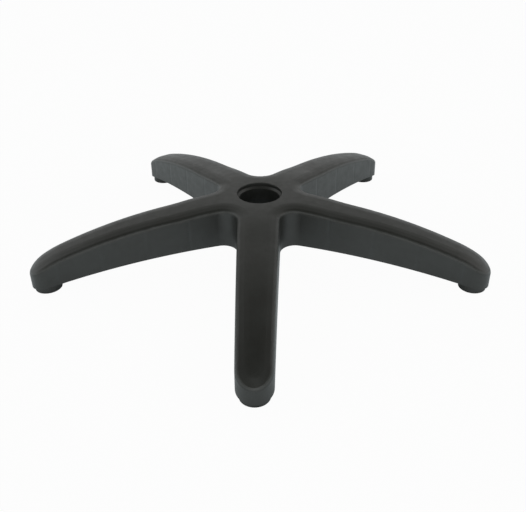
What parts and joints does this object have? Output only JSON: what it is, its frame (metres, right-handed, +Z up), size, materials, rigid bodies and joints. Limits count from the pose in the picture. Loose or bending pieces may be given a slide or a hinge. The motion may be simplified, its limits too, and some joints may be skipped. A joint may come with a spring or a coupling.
{
  "type": "office chair base",
  "caption": "Moulded black star base for an office chair: arched hollow arms on a hub with a tapered gas lift socket, and a caster stem socket under each arm's tip.",
  "frame": {"origin": "hub axis at floor level, in the plane of the lower faces of the caster bosses", "axes": "+Z up along the hub axis; one arm points along -Y"},
  "size_m": [0.5358, 0.5114, 0.082],
  "materials": {
    "black_nylon": "fine moulded texture, satin"
  },
  "bodies": {
    "root": {"star_base": "black_nylon"}
  },
  "joints": []
}
